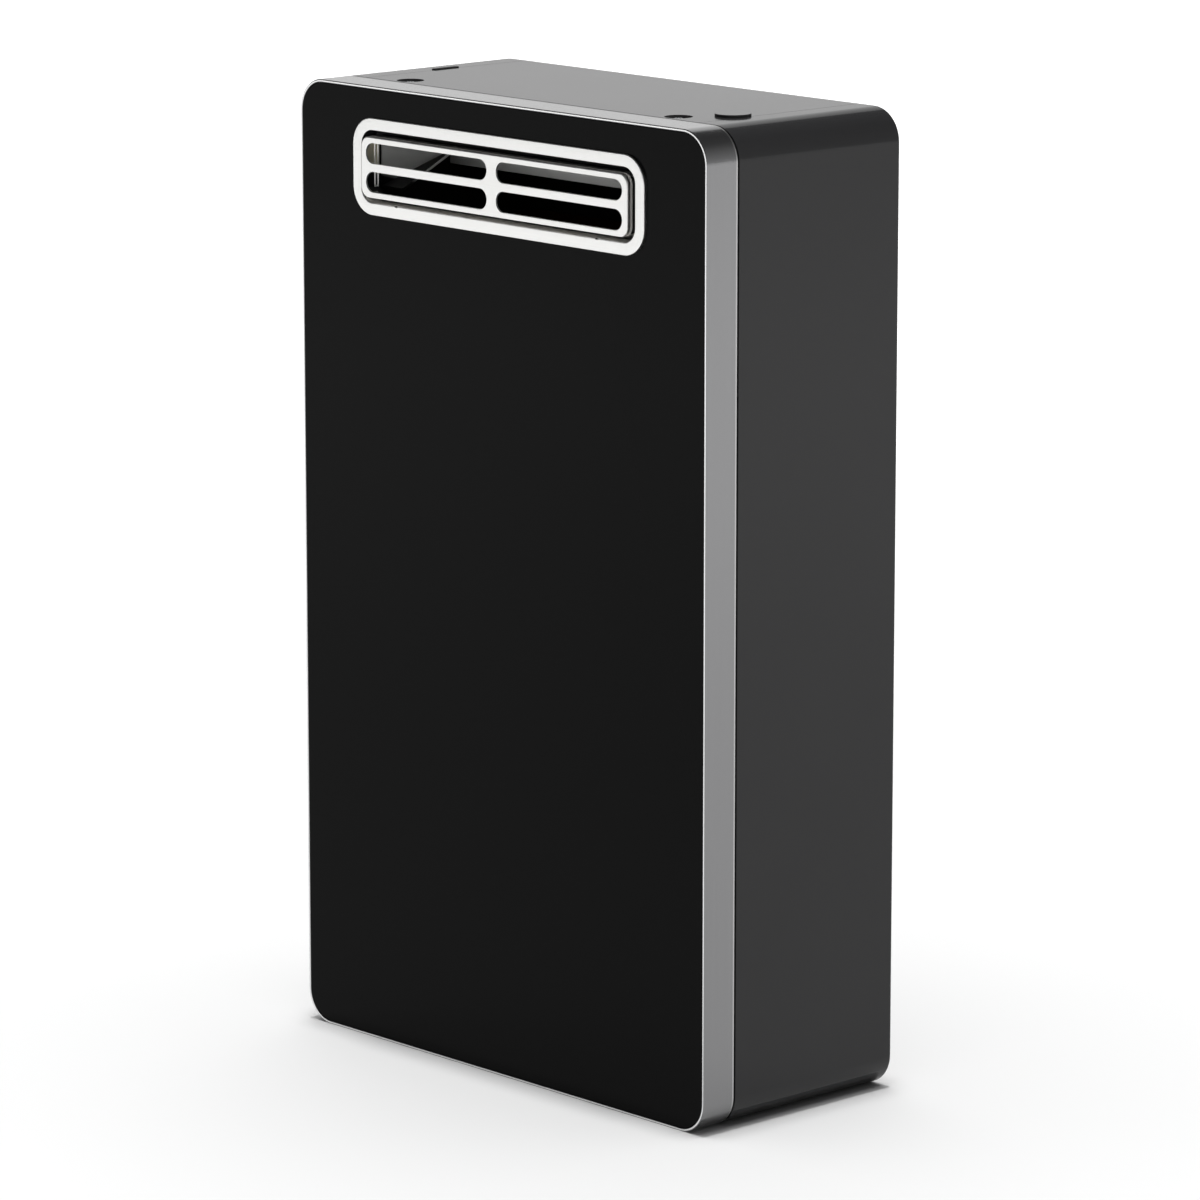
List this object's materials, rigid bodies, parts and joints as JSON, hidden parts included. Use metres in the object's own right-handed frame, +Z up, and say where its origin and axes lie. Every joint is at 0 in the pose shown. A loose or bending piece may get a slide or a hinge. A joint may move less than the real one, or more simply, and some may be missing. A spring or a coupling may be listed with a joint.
{
  "type": "tankless gas water heater",
  "caption": "Wall-hung outdoor tankless gas water heater with a framed black glass front, a slotted front exhaust and pipe connections in a recess under the base.",
  "frame": {"origin": "on the base, under the middle of the part's box", "axes": "+X to the right seen from the front, +Y towards the wall, +Z up"},
  "size_m": [0.3556, 0.1606, 0.5916],
  "materials": {
    "band_aluminium": "brushed and anodised",
    "black_glass": "back-painted toughened glass, glossy",
    "stainless_steel": "satin",
    "casing_paint": "satin dark grey powder coat",
    "black_rubber": "matt",
    "ceramic_rope": "woven, off-white",
    "galvanised_steel": "zinc coated",
    "dark_steel": "heat darkened",
    "copper": "bare copper",
    "brass": "machined",
    "cast_aluminium": "die cast",
    "white_ceramic": "glazed",
    "black_plastic": "matt moulded",
    "white_plastic": "matt moulded",
    "circuit_board": "solder mask",
    "sight_glass": "polished"
  },
  "bodies": {
    "heater": {"front_frame": "band_aluminium", "glass_panel": "black_glass", "cover_tray": "galvanised_steel", "cover_gasket": "black_rubber", "cover_lugs": "galvanised_steel", "cover_screws": "stainless_steel", "exhaust_bezel": "stainless_steel", "exhaust_grille": "stainless_steel", "left_side_panel": "casing_paint", "right_side_panel": "casing_paint", "top_panel": "casing_paint", "bottom_panel": "casing_paint", "rear_panel": "casing_paint", "connection_tray": "casing_paint", "intake_grille": "galvanised_steel", "top_plug": "casing_paint", "top_grommet": "black_rubber", "flue_box": "dark_steel", "flue_deflector": "stainless_steel", "flue_gasket": "ceramic_rope", "exchanger_shell": "copper", "exchanger_fins": "copper", "exchanger_tubes": "copper", "combustion_chamber": "galvanised_steel", "sight_window": "sight_glass", "burner_tray": "galvanised_steel", "burner_bars": "stainless_steel", "gas_manifold": "cast_aluminium", "gas_nozzles": "brass", "spark_electrodes": "white_ceramic", "flame_rod": "white_ceramic", "core_brackets": "galvanised_steel", "fan_housing": "galvanised_steel", "fan_motor": "black_plastic", "gas_inlet": "brass", "gas_valve_body": "cast_aluminium", "shutoff_coil": "black_plastic", "shutoff_spring": "stainless_steel", "modulating_coil": "black_plastic", "modulating_spring": "stainless_steel", "gas_feed_pipe": "brass", "cold_inlet": "brass", "inlet_filter": "white_plastic", "drain_plug": "black_plastic", "flow_sensor": "black_plastic", "cold_pipe": "copper", "hot_pipe": "copper", "hot_outlet": "brass", "outlet_thermistor": "black_plastic", "overheat_thermostat": "black_plastic", "control_box": "white_plastic", "control_board": "circuit_board", "ignition_transformer": "black_plastic", "cable_gland": "black_plastic"},
    "fan_rotor": {"fan_wheel": "galvanised_steel", "fan_shaft": "stainless_steel"},
    "turbine": {"flow_turbine": "white_plastic"},
    "shutoff": {"shutoff_plunger": "dark_steel"},
    "modulating": {"modulating_plunger": "dark_steel"}
  },
  "joints": [
    {"name": "fan_spin", "type": "hinge", "parent": "heater", "child": "fan_rotor", "pos_m": [0, 0, 0.1598], "axis": [0, 1, 0], "continuous": true},
    {"name": "turbine_spin", "type": "hinge", "parent": "heater", "child": "turbine", "pos_m": [0.105, 0.0133, 0.08], "axis": [0, 0, 1], "continuous": true},
    {"name": "shutoff_slide", "type": "slide", "parent": "heater", "child": "shutoff", "axis": [0, -1, 0], "range_m": [0, 0.003], "stiffness_N_per_m": 300, "springref_m": -0.003, "deforming": ["shutoff_spring"]},
    {"name": "modulating_slide", "type": "slide", "parent": "heater", "child": "modulating", "axis": [0, -1, 0], "range_m": [0, 0.003], "stiffness_N_per_m": 200, "springref_m": -0.003, "deforming": ["modulating_spring"]}
  ]
}
